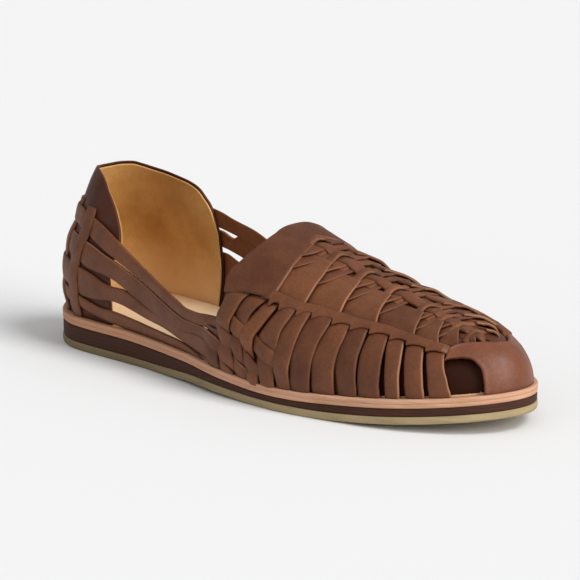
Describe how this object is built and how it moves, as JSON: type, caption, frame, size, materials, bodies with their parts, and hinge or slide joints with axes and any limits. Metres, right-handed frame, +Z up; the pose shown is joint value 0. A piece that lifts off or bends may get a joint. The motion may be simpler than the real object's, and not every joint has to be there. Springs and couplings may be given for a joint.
{
  "type": "huarache sandal",
  "caption": "Closed-heel woven leather sandal with an open waist, toe cut-outs and a flat stacked sole.",
  "frame": {"origin": "on the ground under the middle of the sandal's bounding box", "axes": "+X from heel to toe, +Y to the inner (medial) side of the right foot, +Z up"},
  "size_m": [0.2964, 0.1004, 0.0882],
  "materials": {
    "upper_leather": "warm brown full-grain leather, satin, with light worn edges",
    "natural_leather": "undyed vegetable-tanned leather edge, satin",
    "insole_leather": "golden tan lining leather, semi-matte",
    "wedge": "dark brown microcellular wedge, matte",
    "outsole": "khaki gum rubber, matte"
  },
  "bodies": {
    "root": {"outsole": "outsole", "heel_wedge": "wedge", "welt": "natural_leather", "insole": "insole_leather", "upper": "upper_leather", "edge_strip_lateral": "upper_leather", "edge_strip_medial": "upper_leather", "spine_strip": "upper_leather", "heel_strap_1": "upper_leather", "heel_strap_2": "upper_leather", "heel_strap_3": "upper_leather", "heel_strap_4": "upper_leather"}
  },
  "joints": []
}
